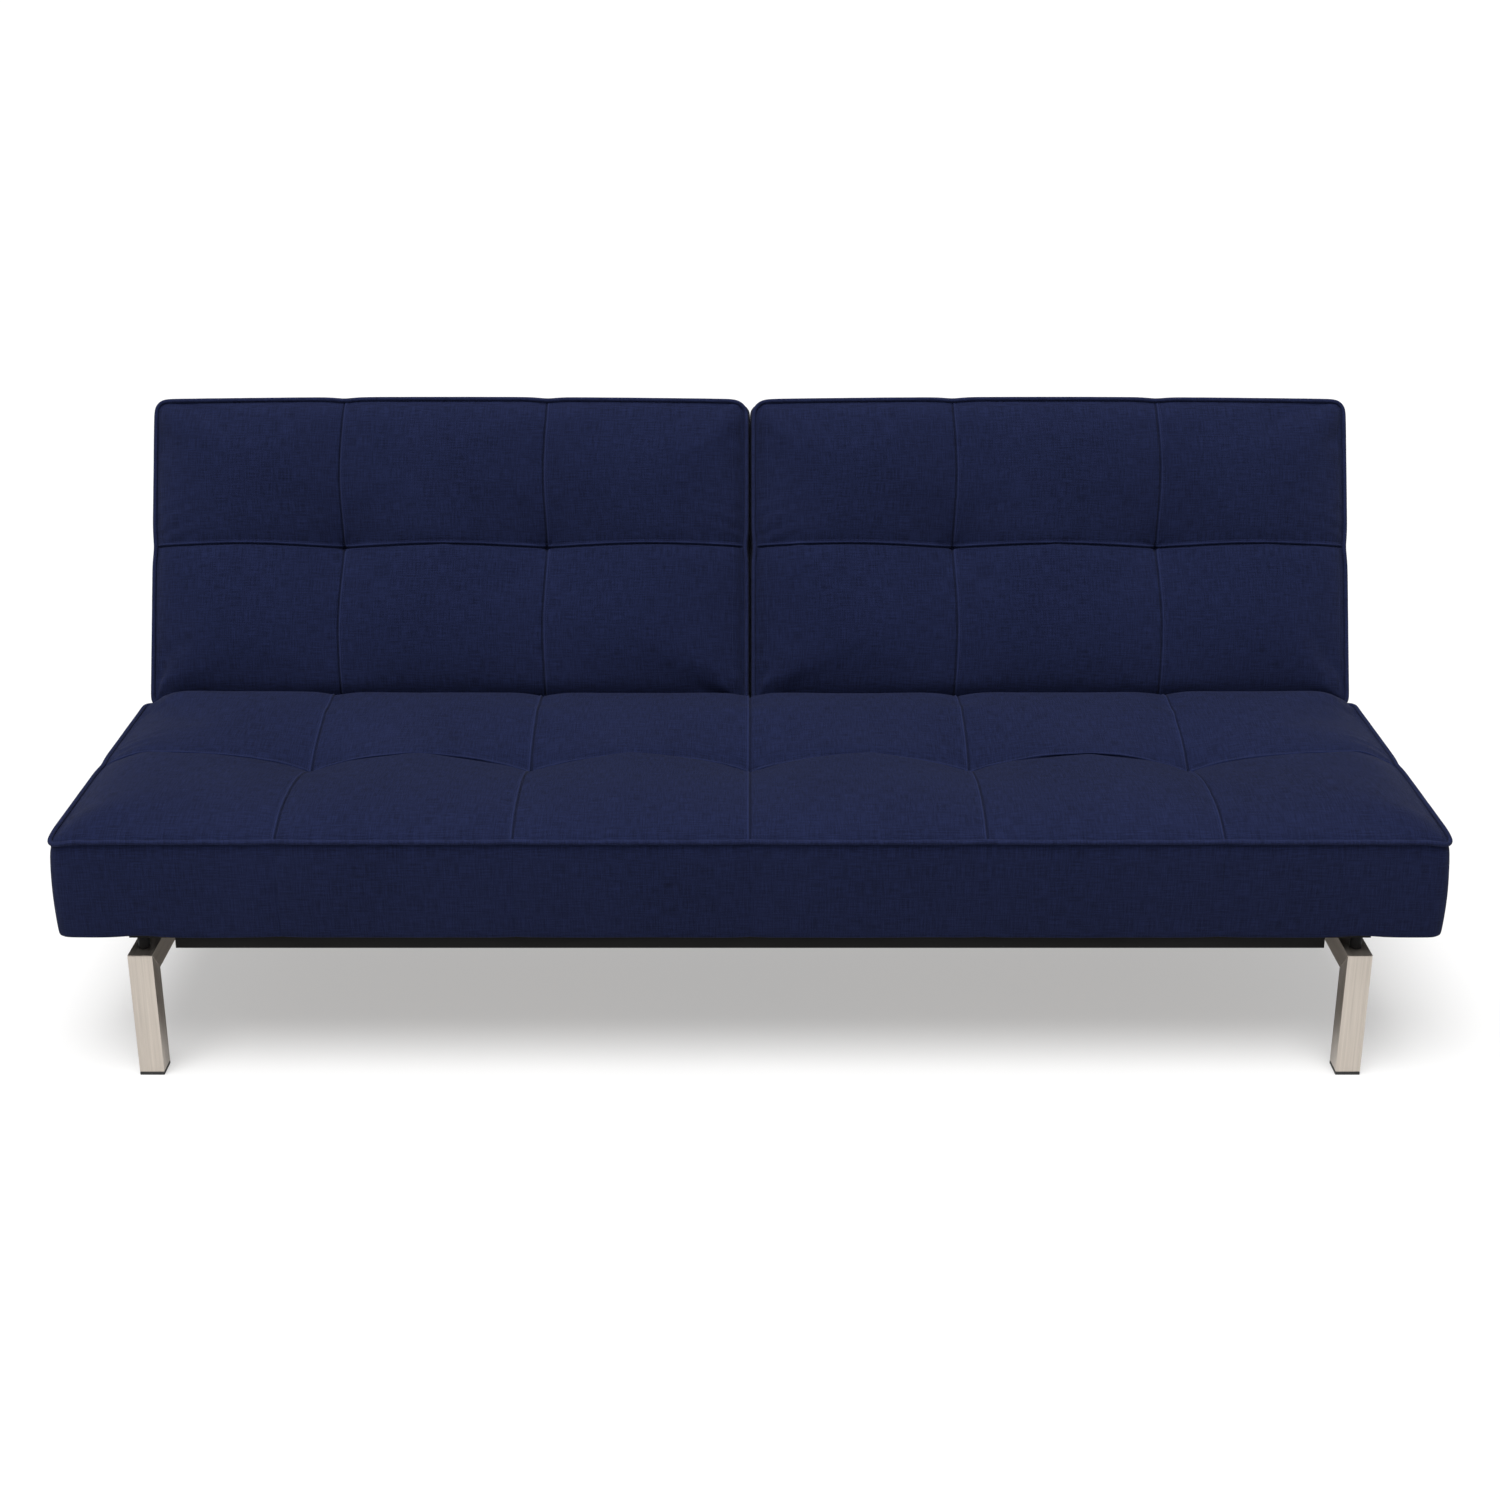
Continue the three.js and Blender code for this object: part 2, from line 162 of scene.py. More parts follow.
class Nodes:
    """Builds one node material around its Principled shader."""

    def __init__(self, name, **sockets):
        self.material = bpy.data.materials.new(name)
        self.material.use_nodes = True
        self.tree = self.material.node_tree
        self.shader = self.tree.nodes["Principled BSDF"]
        for socket, value in sockets.items():
            self.shader.inputs[socket.replace("_", " ")].default_value = value

    def add(self, kind, inputs=None, **settings):
        node = self.tree.nodes.new("ShaderNode" + kind)
        for key, value in settings.items():
            setattr(node, key, value)
        for key, value in (inputs or {}).items():
            self.link(value, node.inputs[key])
        return node

    def link(self, value, socket):
        """Joins an output to a socket, or sets the socket's own value."""
        if isinstance(value, bpy.types.NodeSocket):
            self.tree.links.new(value, socket)
        else:
            socket.default_value = value

    def maths(self, operation, first, second=0.0, third=0.0):
        inputs = {0: first, 1: second, 2: third}
        return self.add("Math", inputs, operation=operation).outputs[0]

    def span(self, value, low, high, to_low, to_high):
        """Carries a value over from one range to another."""
        inputs = {"Value": value, "From Min": low, "From Max": high, "To Min": to_low, "To Max": to_high}
        return self.add("MapRange", inputs).outputs[0]

    def scaled(self, vector, scale):
        return self.add("Mapping", {"Vector": vector, "Scale": scale}).outputs[0]

    def noise(self, vector, scale, detail=3.0, roughness=0.55):
        inputs = {"Vector": vector, "Scale": scale, "Detail": detail, "Roughness": roughness}
        return self.add("TexNoise", inputs).outputs["Fac"]

    def wave(self, vector, scale, direction, distortion=0.0, detail=0.0, detail_scale=1.0):
        inputs = {"Vector": vector, "Scale": scale, "Distortion": distortion, "Detail": detail,
                  "Detail Scale": detail_scale}
        return self.add("TexWave", inputs, bands_direction=direction).outputs["Fac"]

    def blend(self, factor, first, second):
        node = self.add("Mix", data_type="RGBA")
        for socket, value in ((0, factor), (6, first), (7, second)):
            self.link(value, node.inputs[socket])
        return node.outputs[2]

    def colour(self, value):
        self.link(value, self.shader.inputs["Base Color"])

    def roughness(self, value):
        self.link(value, self.shader.inputs["Roughness"])

    def bump(self, height, distance, strength=1.0, under=None):
        inputs = {"Height": height, "Distance": distance, "Strength": strength}
        if under is not None:
            inputs["Normal"] = under
        normal = self.add("Bump", inputs).outputs[0]
        self.link(normal, self.shader.inputs["Normal"])
        return normal


def rgb(red, green, blue):
    """A colour given as 0 to 255 in sRGB, as a linear RGBA value."""
    def linear(c):
        c /= 255
        return c / 12.92 if c <= 0.04045 else ((c + 0.055) / 1.055) ** 2.4
    return (linear(red), linear(green), linear(blue), 1.0)


def grain_scale(along, across_grain, along_grain):
    """Texture scales for a grain that runs along one axis: 0 for X, 1 for Y, 2 for Z."""
    return tuple(along_grain if axis == along else across_grain for axis in range(3))


def canvas(name, dark, light, worn_and_highlight, thread=0.75 * MM):
    """A plain-woven cotton canvas. Its weave follows the cloth, from the flat UV coordinates in metres."""
    n = Nodes(name, Sheen_Weight=0.02, Sheen_Roughness=0.5, Specular_IOR_Level=0.08)
    uv = n.add("TexCoord").outputs["UV"]
    wave_scale = 1 / (thread * 3.183)  # a Wave texture repeats every 1 / (3.183 * scale)
    warp = n.wave(uv, wave_scale, "X", 0.6, 2.0, 40)
    weft = n.wave(uv, wave_scale, "Y", 0.6, 2.0, 40)
    check = n.maths("MULTIPLY", n.maths("SUBTRACT", warp, 0.5), n.maths("SUBTRACT", weft, 0.5))
    weave = n.maths("MULTIPLY_ADD", check, 2.0, 0.5)
    slub = n.noise(n.scaled(uv, (36, 540, 1)), 1.0, 2.0, 0.5)
    cross_slub = n.noise(n.scaled(uv, (540, 36, 1)), 1.0, 2.0, 0.5)
    slubs = n.maths("ADD", n.maths("MULTIPLY", slub, 0.5), n.maths("MULTIPLY", cross_slub, 0.5))
    fine = n.maths("ADD", n.maths("MULTIPLY", weave, 0.35), n.maths("MULTIPLY", slubs, 0.9))
    cloth = n.blend(n.span(fine, 0.47, 0.78, 0.0, 1.0), dark, light)
    cloud = n.noise(n.scaled(uv, (5, 4, 1)), 1.0, 3.0, 0.5)
    faded = n.blend(n.span(cloud, 0.35, 0.75, 0.0, 0.1), cloth, worn_and_highlight)
    # Painted light at the seams: shade painted into the groove at each seam, and a highlight painted onto the
    # folded ridge beside it, in the lightest colour.
    ridge = n.add("Attribute", attribute_name="ridge").outputs["Fac"]
    groove_shaded = n.blend(n.span(ridge, -1.0, 0.0, 0.55, 0.0), faded, dark)
    n.colour(n.blend(n.span(ridge, 0.0, 1.0, 0.0, 0.38), groove_shaded, worn_and_highlight))
    n.roughness(n.span(slubs, 0.3, 0.7, 1.0, 0.88))
    coarse = n.bump(n.noise(n.scaled(uv, (110, 110, 1)), 1.0, 3.0), 0.5 * MM, 0.3)
    n.bump(fine, 0.3 * MM, 0.6, coarse)
    return n.material


def brushed_steel(name, tint, along, rough):
    """Steel with fine brush lines along one axis."""
    n = Nodes(name, Metallic=1.0)
    position = n.add("TexCoord").outputs["Object"]
    lines = n.noise(n.scaled(position, grain_scale(along, 1600, 14)), 1.0, 3.0, 0.6)
    bands = n.noise(n.scaled(position, grain_scale(along, 220, 3)), 1.0, 2.0)
    smudge = n.noise(position, 9.0, 4.0)
    shade = tuple(c * 0.78 for c in tint[:3]) + (1.0,)
    n.colour(n.blend(n.span(n.maths("ADD", lines, bands), 0.75, 1.3, 0.0, 1.0), shade, tint))
    brushed = n.span(lines, 0.3, 0.7, rough - 0.06, rough + 0.1)
    n.roughness(n.maths("ADD", brushed, n.span(smudge, 0.4, 0.7, 0.0, 0.08)))
    n.bump(lines, 0.05 * MM, 0.35)
    return n.material


def painted_steel(name, base, scuff):
    """Powder-coated steel with faint scuffs."""
    n = Nodes(name, Specular_IOR_Level=0.12)
    position = n.add("TexCoord").outputs["Object"]
    peel = n.noise(position, 900.0, 2.0)
    marks = n.noise(n.scaled(position, (6, 40, 40)), 1.0, 6.0, 0.7)
    n.colour(n.blend(n.span(marks, 0.6, 0.78, 0.0, 0.6), base, scuff))
    n.roughness(n.span(marks, 0.3, 0.75, 0.5, 0.7))
    n.bump(peel, 0.08 * MM, 0.5)
    return n.material


def zinc(name):
    """Bright zinc plate with a small spangle."""
    n = Nodes(name, Metallic=1.0)
    position = n.add("TexCoord").outputs["Object"]
    spangle = n.add("TexVoronoi", {"Vector": position, "Scale": 260.0}).outputs["Color"]
    grain = n.noise(position, 320.0, 4.0)
    tone = n.blend(n.span(grain, 0.3, 0.7, 0.0, 1.0), rgb(132, 134, 138), rgb(176, 178, 180))
    n.colour(n.blend(0.12, tone, spangle))
    n.roughness(n.span(grain, 0.3, 0.7, 0.3, 0.5))
    n.bump(grain, 0.05 * MM, 0.3)
    return n.material


def beech(name, along):
    """Pale steamed beech with its grain along one axis, and the short dark flecks that beech has."""
    n = Nodes(name, Specular_IOR_Level=0.35)
    position = n.add("TexCoord").outputs["Object"]
    rings = n.noise(n.scaled(position, grain_scale(along, 28, 1.6)), 1.0, 5.0, 0.6)
    flecks = n.noise(n.scaled(position, grain_scale(along, 700, 110)), 1.0, 1.0)
    board = n.blend(n.span(rings, 0.35, 0.68, 0.0, 1.0), rgb(214, 178, 130), rgb(183, 140, 92))
    n.colour(n.blend(n.span(flecks, 0.62, 0.72, 0.0, 0.55), board, rgb(128, 88, 54)))
    n.roughness(n.span(rings, 0.3, 0.7, 0.5, 0.66))
    n.bump(n.maths("ADD", rings, n.maths("MULTIPLY", flecks, 0.5)), 0.15 * MM, 0.4)
    return n.material


def moulded_plastic(name, base):
    """Matt plastic with a little dust."""
    n = Nodes(name)
    position = n.add("TexCoord").outputs["Object"]
    grain = n.noise(position, 1400.0, 2.0)
    dust = n.noise(position, 45.0, 5.0, 0.7)
    n.colour(n.blend(n.span(dust, 0.5, 0.8, 0.0, 0.5), base, rgb(62, 60, 58)))
    n.roughness(n.span(grain, 0.3, 0.7, 0.5, 0.7))
    n.bump(grain, 0.1 * MM, 0.5)
    return n.material


def dust_cloth(name):
    """The black non-woven cloth under a seat: pressed fibres with a grid of spot welds."""
    n = Nodes(name, Sheen_Weight=0.1, Specular_IOR_Level=0.2)
    uv = n.add("TexCoord").outputs["UV"]
    fibres = n.noise(uv, 420.0, 6.0, 0.7)
    spots = n.add("TexVoronoi", {"Vector": uv, "Scale": 380.0, "Randomness": 0.0}).outputs["Distance"]
    n.colour(n.blend(n.span(fibres, 0.35, 0.7, 0.0, 1.0), rgb(20, 20, 21), rgb(46, 45, 46)))
    n.roughness(n.span(fibres, 0.3, 0.7, 0.8, 0.95))
    n.bump(n.maths("ADD", fibres, n.span(spots, 0.0, 0.5, 0.0, 0.8)), 0.25 * MM, 0.6)
    return n.material


NAVY = canvas("navy_canvas", rgb(12, 16, 35), rgb(26, 33, 65), rgb(38, 46, 82))
# The piping is the cover's cloth painted lighter: a painted highlight along the cord, where it catches the light.
PIPING = canvas("navy_piping_painted_highlight", rgb(15, 19, 40), rgb(32, 39, 72), rgb(44, 53, 90))
THREAD = canvas("navy_thread", rgb(17, 21, 43), rgb(34, 40, 72), rgb(42, 50, 84), thread=0.4 * MM)
DUST_CLOTH = dust_cloth("dust_cloth")
STEEL = {
    axis: brushed_steel(f"brushed_steel_{'xyz'[axis]}", rgb(193, 184, 174), axis, 0.32) for axis in (1, 2)
}
BLACK_PAINT = painted_steel("black_paint", rgb(8, 7, 8), rgb(22, 21, 21))
ZINC = zinc("zinc_plate")
BEECH = {axis: beech(f"beech_{'xyz'[axis]}", axis) for axis in (0, 1)}
PLASTIC = moulded_plastic("black_plastic", rgb(20, 20, 20))


# --- Camera, floor and light ------------------------------------------------------------------

def make_camera():
    """The photograph's viewpoint."""
    camera = bpy.data.cameras.new("camera")
    camera.lens, camera.sensor_width = 54, 36
    obj = bpy.data.objects.new("camera", camera)
    before_seat, height, pitch = 3.089, 1.736, 21.23  # metres, metres above the floor, degrees down
    obj.location = (0, SEAT[0][1] - before_seat, height)
    obj.rotation_euler = (math.radians(90 - pitch), 0, 0)
    bpy.context.collection.objects.link(obj)
    bpy.context.scene.camera = obj


def make_floor():
    """A plain pale floor that fills the view."""
    half = 400
    corners = [(-half, -half, 0), (half, -half, 0), (half, half, 0), (-half, half, 0)]
    n = Nodes("studio_floor", Roughness=0.9, Specular_IOR_Level=0.1, Emission_Color=(1, 0.995, 0.99, 1))
    position = n.add("TexCoord").outputs["Object"]
    mottle = n.blend(n.noise(position, 2.0, 4.0), (0.43, 0.43, 0.43, 1), (0.45, 0.45, 0.45, 1))
    # The floor glows a little, so its shadows look pale. The glow neither lights the sofa nor mirrors in it.
    ray = n.add("LightPath").outputs
    bounced = n.maths("MAXIMUM", ray["Is Glossy Ray"], ray["Is Diffuse Ray"])
    glow = 0.41
    n.link(n.span(bounced, 0.0, 1.0, glow, 0.0), n.shader.inputs["Emission Strength"])
    n.colour(n.blend(ray["Is Glossy Ray"], mottle, (0.8, 0.8, 0.8, 1)))
    new_object("floor", corners, [(0, 1, 2, 3)], n.material)


def make_light():
    """A sky that is pale at the horizon, and one broad light overhead."""
    world = bpy.data.worlds.new("studio")
    bpy.context.scene.world = world
    world.use_nodes = True
    tree = world.node_tree
    background = tree.nodes["Background"]
    position = tree.nodes.new("ShaderNodeTexCoord")
    split = tree.nodes.new("ShaderNodeSeparateXYZ")
    sky = tree.nodes.new("ShaderNodeValToRGB")
    stops = ((0.0, 1.0), (0.07, 0.95), (0.2, 0.22), (1.0, 0.5))  # height, brightness: pale at the horizon
    while len(sky.color_ramp.elements) < len(stops):
        sky.color_ramp.elements.new(0.5)
    for element, (place, brightness) in zip(sky.color_ramp.elements, stops):
        element.position = place
        element.color = (brightness, brightness, brightness, 1)
    tree.links.new(position.outputs["Generated"], split.inputs[0])
    tree.links.new(split.outputs["Z"], sky.inputs["Fac"])
    tree.links.new(sky.outputs["Color"], background.inputs["Color"])

    sun = bpy.data.lights.new("overhead", "SUN")
    sun.energy, sun.angle = 3.9, math.radians(46)
    obj = bpy.data.objects.new("overhead", sun)
    forwards, sideways = 17, -6  # how far the light leans, in degrees
    obj.rotation_euler = (math.radians(forwards), math.radians(sideways), 0)
    bpy.context.collection.objects.link(obj)
    bpy.context.scene.view_settings.view_transform = "Standard"


# --- Cushions ---------------------------------------------------------------------------------

def grid_lines(length, seams, step, extra=()):
    """Grid lines from 0 to length, close together beside each seam and edge, even in between."""
    beside_edge = [0, 3.5 * MM, 7 * MM, 12 * MM, 20 * MM]
    beside_seam = [0, 1.7 * MM, 3.5 * MM, SEAM_TO_STITCHES, 12 * MM]
    stops = [0, *seams, length]
    lines = set()
    for low, high in zip(stops, stops[1:]):
        after = beside_edge if low == 0 else beside_seam
        before = beside_edge if high == length else beside_seam
        first, last = low + after[-1], high - before[-1]
        count = max(1, round((last - first) / step))
        lines.update(round(low + gap, 6) for gap in after)
        lines.update(round(high - gap, 6) for gap in before)
        lines.update(round(first + (last - first) * k / count, 6) for k in range(1, count))
    ends = {0, round(length, 6)}
    extra = [round(line, 6) for line in extra if 3 * MM < line < length - 3 * MM]
    near = {line for line in lines - ends if any(abs(line - other) < 2.5 * MM for other in extra)}
    return np.array(sorted((lines - near) | ends | set(extra)))


def rim_loop(columns, rows):
    """Indices of the points round the edge of a grid, in order."""
    loop = [(i, 0) for i in range(columns)] + [(columns - 1, j) for j in range(1, rows)]
    loop += [(i, rows - 1) for i in range(columns - 2, -1, -1)] + [(0, j) for j in range(rows - 2, 0, -1)]
    return tuple(np.array(loop).T)


def grid_faces(index, flip=False):
    """Quads between a grid of points, facing up, or down if flipped."""
    quads = np.stack([index[:-1, :-1], index[1:, :-1], index[1:, 1:], index[:-1, 1:]], axis=-1).reshape(-1, 4)
    return quads[:, [0, 3, 2, 1]] if flip else quads


@dataclass
class Cut:
    """How a cushion is cut, filled and sewn."""

    length: float
    width: float
    thick: float
    step: float  # of the grid, away from the seams
    seams: list  # where each short seam crosses its length
    cross_seam: float  # where the long seam crosses its width
    fold_side: int  # the side of the short seams that the folded ridge is on
    corners: tuple  # plan radii, one pair (low b, high b) at low a and one at high a
    droop: float  # how far the piping dips at the corners away from the crease
    bow: tuple  # how far the short and long seams curve between the tufts
    arch: float  # how far the edge of high b rises in the middle
    crown: float  # how far its cells stand above the piping
    edge_reach: float  # how far in from the piping the face rises
    tuft_reach: float  # how far the hollow round a tuft spreads
    dimple: float  # the sharp pinch at the tuft itself
    puff: float  # pressure inside the cover
    crease_at: float  # the edge at the crease between seat and back, as a value of b
    crease_reach: float  # how far in from the crease the face rises
    crease_flat: float  # how far beside the crease the face stays low
    swell: float  # how much higher the face stands where the seat is squeezed against the backs
    bulges: tuple  # how far the border stands out, on the sides of low a and high a, and elsewhere
    bottom_corner: float
    hem: float  # how far the border's lower edge hangs below the base
    hem_gaps: list  # where along the front the hem is drawn up, over the spacers on the legs
    dents: list  # (low a, high a) of each hollow at the crease that clears a hinge
    dent_depth: float
    split_at: float  # the side that meets the other back, as a value of a


class Cushion:
    """A boxed cushion with a crowned, tufted face, as a grid that keeps its flat cloth coordinates."""

    def __init__(self, name, body, origin, lean, cut):
        self.name, self.body, self.cut = name, body, cut
        self.length, self.width, self.thick = cut.length, cut.width, cut.thick
        self.seams, self.cross_seam = cut.seams, cut.cross_seam
        up = (0, math.cos(lean), math.sin(lean))
        out = (0, -math.sin(lean), math.cos(lean))
        self.axes = np.array([(1, 0, 0), up, out])
        self.origin = np.array(origin)
        bends = [(low - DENT_EDGE, low, high, high + DENT_EDGE) for low, high in cut.dents]
        self.a = grid_lines(cut.length, cut.seams, cut.step, sum(bends, ()))
        self.b = grid_lines(cut.width, [cut.cross_seam], cut.step)
        self.make()

    def world(self, a, b, c):
        """World positions of points given along the cushion's own axes."""
        return self.origin + np.stack([a, b, c], axis=-1) @ self.axes

    def edge_distance(self, a, b):
        return np.minimum.reduce([a, self.length - a, b, self.width - b])

    def tuft_distance(self, a, b):
        return np.minimum.reduce([np.hypot(a - seam, b - self.cross_seam) for seam in self.seams])

    def seam_distance(self, a, b):
        return np.minimum.reduce([np.abs(b - self.cross_seam)] + [np.abs(a - seam) for seam in self.seams])

    def plan(self, a, b, inset=0.0):
        """Where each point lies in plan: the corners are round, and the seams pull and curve."""
        half = np.array([self.length / 2, self.width / 2])
        centred = np.stack([a, b], axis=-1) - half
        side = np.where(centred < 0, -1, 1)
        corner = np.array(self.cut.corners)[(side[..., 0] > 0).astype(int), (side[..., 1] > 0).astype(int)]
        inner = half - corner[..., None]
        arm = np.abs(centred) - inner
        both = (arm > 0).all(axis=-1)
        shrink = arm.max(axis=-1) / np.maximum(np.hypot(arm[..., 0], arm[..., 1]), 1e-9)
        arm = np.where(both[..., None], arm * shrink[..., None], arm)
        centred = side * (inner + arm)
        pull, spread = 2.2 * MM, 20 * MM
        near_edge = np.abs(centred / half) ** 8  # the seams pull the edge in, and hardly the face
        at_long_seam = bell(b - self.cross_seam, spread)
        at_short_seams = sum(bell(a - seam, spread) for seam in self.seams)
        centred[..., 0] -= side[..., 0] * near_edge[..., 0] * pull * at_long_seam
        centred[..., 1] -= side[..., 1] * near_edge[..., 1] * pull * at_short_seams
        far_edge = np.clip(b / self.width, 0, 1) ** 4
        centred[..., 1] += self.cut.arch * far_edge * (1 - (centred[..., 0] / half[0]) ** 2)
        centred = (centred + self.curve(a, b)) * (1 - inset / half)
        return centred[..., 0] + half[0], centred[..., 1] + half[1]

    def curve(self, a, b):
        """How the seams bow between the tufts."""
        short_bow, long_bow = self.cut.bow
        stops = np.array([0, *self.seams, self.length])
        cell = np.clip(np.searchsorted(stops, a, side="right") - 1, 0, len(stops) - 2)
        across = (a - stops[cell]) / (stops[cell + 1] - stops[cell])
        upper = b > self.cross_seam
        along = np.where(upper, (b - self.cross_seam) / (self.width - self.cross_seam), b / self.cross_seam)
        inside = smooth(self.edge_distance(a, b) / (60 * MM))
        shift_a = short_bow * np.sin(np.pi * along) ** 2 * inside
        shift_b = long_bow * np.sin(np.pi * across) ** 2 * bell(b - self.cross_seam, 90 * MM)
        return np.stack([shift_a, shift_b], axis=-1)

    def face_height(self, a, b):
        """How far the tufted face stands above the piping, before it is inflated."""
        edge = self.edge_distance(a, b)
        from_crease = np.abs(b - self.cut.crease_at)
        ways_in = (
            (np.minimum(a, self.length - a) - 5 * MM, self.cut.edge_reach),
            (self.width - from_crease - 5 * MM, self.cut.edge_reach),
            (from_crease - self.cut.crease_flat, self.cut.crease_reach),
        )
        rise = 1
        for distance, reach in ways_in:
            rise = rise * mound(distance, reach, 2.2)
        away = self.tuft_distance(a, b)
        tuft = mound(away, self.cut.tuft_reach, 2.3)
        dimple = self.cut.dimple * bell(away, 24 * MM, 1.3)
        valley = SEAM_VALLEY * bell(self.seam_distance(a, b), 22 * MM, 1.4) * smooth(edge / (28 * MM))
        beside_piping = PIPING_GROOVE * bell(edge - 5 * MM, 3 * MM)
        swell = self.cut.swell * bell(from_crease - 32 * MM, 42 * MM) * rise
        return self.cut.crown * rise * tuft + swell - dimple - valley - beside_piping

    def droop_at(self, a, b):
        """How far the piping dips at each place."""
        from_side, from_end = np.minimum(a, self.length - a), self.width - np.abs(b - self.cut.crease_at)
        return self.cut.droop * bell(np.hypot(from_side, from_end), 26 * MM)

    def hem_at(self, a, b):
        """How far the border hangs below the base: less over the spacers, and nothing at the crease end."""
        away = smooth((np.abs(b - self.cut.crease_at) - 30 * MM) / (40 * MM))
        at_front = b < 20 * MM
        for gap in self.cut.hem_gaps:
            away = away * (1 - HEM_LIFT * bell(a - gap, 30 * MM) * at_front)
        return self.cut.hem * away

    def bulge_at(self, a, depth):
        """How far the border stands out at each place round the rim: most halfway down, least at the foot."""
        low, high, other = self.cut.bulges
        size = np.where(a < TINY, low, np.where(a > self.length - TINY, high, other))
        return size * (math.sin(math.pi * min(depth, 0.5)) ** 0.8 - 0.75 * smooth((depth - 0.5) / 0.6))

    def dent_at(self, a, b):
        """How far the border at the crease is drawn in, to clear the hinges."""
        inward = math.copysign(1, self.width / 2 - self.cut.crease_at)
        inside = 0
        for low, high in self.cut.dents:
            inside = inside + smooth((a - low) / DENT_EDGE + 1) * smooth((high - a) / DENT_EDGE + 1)
        return inward * self.cut.dent_depth * inside * (np.abs(b - self.cut.crease_at) < TINY)

    def make(self):
        """Builds the cover from its face, the rows of its border and its base."""
        grid_a, grid_b = np.meshgrid(self.a, self.b, indexing="ij")
        loop, rows = rim_loop(*grid_a.shape), self.wall_rows()
        face = self.face_points(grid_a, grid_b)
        rim, rim_flat = face[loop][:, :2], np.stack([grid_a[loop], grid_b[loop]], axis=-1)
        along = np.roll(rim, -1, axis=0) - np.roll(rim, 1, axis=0)
        self.outward = unit(np.stack([along[:, 1], -along[:, 0]], axis=-1))
        border, border_flat = self.border_points(rim, rim_flat, rows)
        base = self.base_points(grid_a, grid_b)
        points = np.concatenate([face.reshape(-1, 3), border, base.reshape(-1, 3)])

        def flat_grid(depth):
            return np.stack([grid_a, grid_b, np.full_like(grid_a, depth)], axis=-1).reshape(-1, 3)
        flat = np.concatenate([flat_grid(0), border_flat, flat_grid(BASE)])

        top = np.arange(grid_a.size).reshape(grid_a.shape)
        bottom = top + len(points) - top.size
        between = top.size + np.arange(len(border)).reshape(len(rows), -1)
        rings = [top[loop], *between, bottom[loop]]
        walls = [np.stack([upper, lower, np.roll(lower, -1), np.roll(upper, -1)], axis=-1)
                 for upper, lower in zip(rings, rings[1:])]
        face_quads = grid_faces(top)
        faces = np.concatenate([face_quads, *walls, grid_faces(bottom, flip=True)])
        self.obj = new_object(self.name, self.world(*points.T), faces, NAVY)
        self.top_index, self.ring_index, self.base_index = top, rings[0], bottom
        self.store_flat(flat)
        self.store_uv(flat, rim, rows, len(face_quads))

    def face_points(self, a, b):
        """The tufted face."""
        plan_a, plan_b = self.plan(a, b)
        return np.stack([plan_a, plan_b, self.face_height(a, b) - self.droop_at(a, b)], axis=-1)

    def border_points(self, rim, rim_flat, rows):
        """A ring of points for each row of the border, and their flat coordinates."""
        a, b = rim_flat.T
        deeper, droop = 1 + self.hem_at(a, b) / self.thick, self.droop_at(a, b)
        points, flat = [], []
        for depth, away, drop in rows:
            ring = rim + self.outward * np.reshape(away + self.bulge_at(a, depth), (-1, 1))
            ring[:, 1] += self.dent_at(a, b) * smooth(depth / 0.06)
            points.append(np.column_stack([ring, -drop * deeper - droop * (1 - drop / self.thick)]))
            flat.append(np.column_stack([rim_flat, np.full(len(ring), depth)]))
        return np.concatenate(points), np.concatenate(flat)

    def base_points(self, a, b):
        """The flat base, with its edge drawn down to the hem."""
        plan_a, plan_b = self.plan(a, b, self.cut.bottom_corner)
        hem = self.hem_at(a, b) * smooth(1 - self.edge_distance(a, b) / (3 * MM))
        return np.stack([plan_a, plan_b, -self.thick - hem], axis=-1)

    def wall_rows(self):
        """(share of the way down, distance outwards, drop) of each row of the border, below the piping."""
        radius = self.cut.bottom_corner
        straight = self.thick - radius
        rows = []
        for share in (0.03, 0.1, 0.22, 0.38, 0.54, 0.7, 0.86, 1.0):
            tucked = -2.8 * MM * bell(share, 0.07)
            rows.append((share * STRAIGHT_SHARE, tucked, share * straight))
        for turn in (0.3, 0.6, 0.85):
            angle = turn * math.pi / 2
            away, drop = radius * (math.cos(angle) - 1), straight + radius * math.sin(angle)
            rows.append((STRAIGHT_SHARE + (1 - STRAIGHT_SHARE) * turn, away, drop))
        return rows

    def store_flat(self, flat):
        """Keeps the flat coordinates on the mesh, where modifiers carry them along."""
        layer = self.obj.data.attributes.new("flat", "FLOAT_VECTOR", "POINT")
        layer.data.foreach_set("vector", flat.astype(np.float32).ravel())

    def store_uv(self, flat, rim, rows, first):
        """The cloth's own coordinates: across the face, and round the border."""
        mesh = self.obj.data
        ring_size = len(rim)
        uv = mesh.uv_layers.new(name="cloth")
        corner = np.empty(len(mesh.loops), dtype=np.int64)
        mesh.loops.foreach_get("vertex_index", corner)
        values = flat[corner][:, :2].reshape(-1, 4, 2)
        start = way_round(rim)
        drops = [0.0] + [row[2] for row in rows] + [self.thick + self.cut.bottom_corner / 2]
        for k in range(len(rows) + 1):
            block = values[first + k * ring_size:first + (k + 1) * ring_size]
            upper, lower = np.full(ring_size, -drops[k]), np.full(ring_size, -drops[k + 1])
            block[:, 0] = np.column_stack([start[:-1], upper])
            block[:, 1] = np.column_stack([start[:-1], lower])
            block[:, 2] = np.column_stack([start[1:], lower])
            block[:, 3] = np.column_stack([start[1:], upper])
        uv.data.foreach_set("uv", values.astype(np.float32).ravel())

    def read_flat(self):
        layer = self.obj.data.attributes["flat"]
        flat = np.empty(len(layer.data) * 3, dtype=np.float32)
        layer.data.foreach_get("vector", flat)
        return flat.reshape(-1, 3).astype(float)

